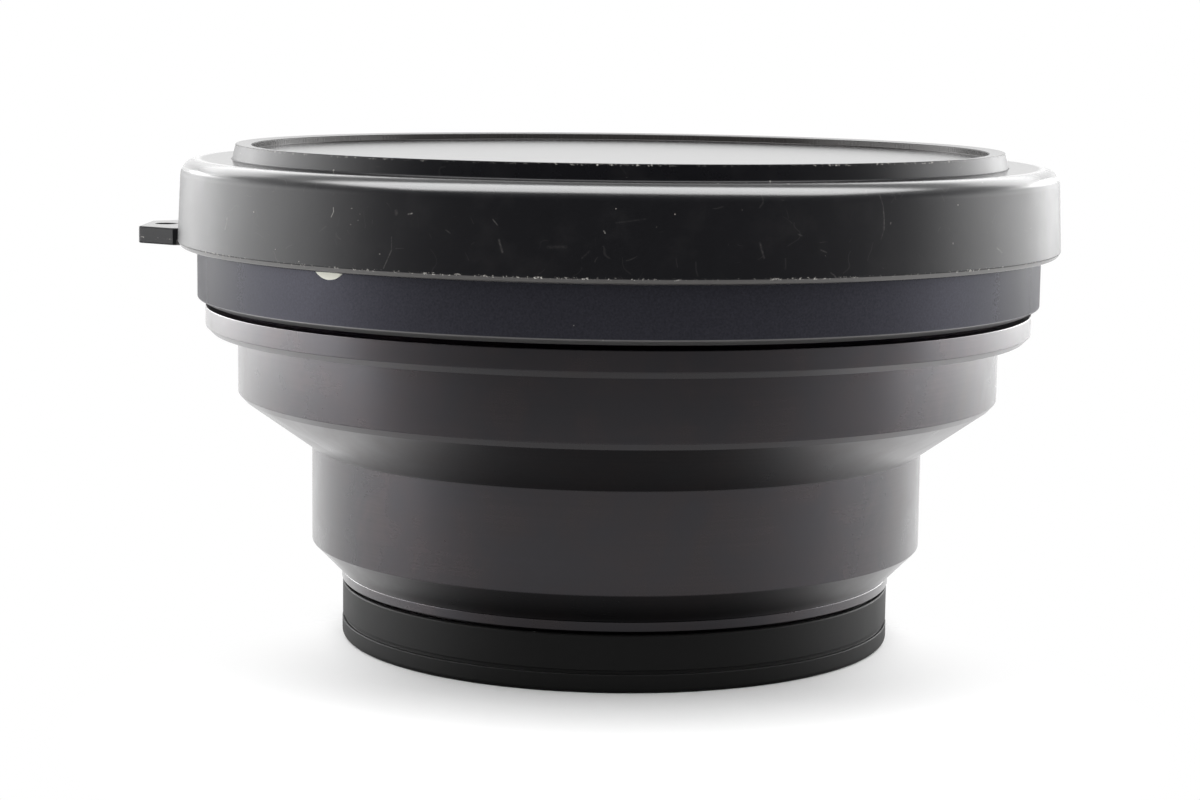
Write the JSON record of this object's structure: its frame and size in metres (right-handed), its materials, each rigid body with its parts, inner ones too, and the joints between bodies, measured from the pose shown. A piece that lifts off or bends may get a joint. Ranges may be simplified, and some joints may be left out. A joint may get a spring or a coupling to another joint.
{
  "type": "wide-angle conversion lens",
  "caption": "Stepped black wide-angle conversion lens with a wide front ring, a waist and a threaded rear mount, standing on its push-on rear cap with its push-on front cap on.",
  "frame": {"origin": "middle of the rear cap's flat foot", "axes": "+Z along the lens's axis from the rear cap to the front cap, and the front cap's tether lug points along -X"},
  "size_m": [0.0981, 0.094, 0.0529],
  "materials": {
    "front_cap_plastic": "satin black moulded plastic with a worn edge, dust and hairline scratches",
    "rear_cap_plastic": "black moulded plastic",
    "satin_black_aluminium": "fine blasted and black anodised",
    "black_anodised_aluminium": "turned and black anodised",
    "matt_black_aluminium": "matt black optical paint",
    "optical_glass": "polished and coated",
    "seal_rubber": "plain",
    "blackened_steel": "black oxide",
    "pale_enamel": "pale grey paint fill"
  },
  "bodies": {
    "rear_cap_body": {"rear_cap": "rear_cap_plastic"},
    "lens_body": {"rear_mount_ring": "black_anodised_aluminium", "lens_barrel": "black_anodised_aluminium", "rear_lock_ring": "black_anodised_aluminium", "rear_crown_element": "optical_glass", "rear_flint_element": "optical_glass", "light_baffle": "matt_black_aluminium", "shim_ring": "matt_black_aluminium", "front_element": "optical_glass", "edge_seal": "seal_rubber", "front_lock_ring": "matt_black_aluminium", "front_ring": "satin_black_aluminium", "front_ring_set_screws": "blackened_steel", "index_dot": "pale_enamel"},
    "front_cap_body": {"front_cap": "front_cap_plastic"}
  },
  "joints": [
    {"name": "rear_cap_pull", "type": "slide", "parent": "rear_cap_body", "child": "lens_body", "axis": [0, 0, 1], "range_m": [0, 0.012]},
    {"name": "front_cap_pull", "type": "slide", "parent": "lens_body", "child": "front_cap_body", "axis": [0, 0, 1], "range_m": [0, 0.015]}
  ]
}
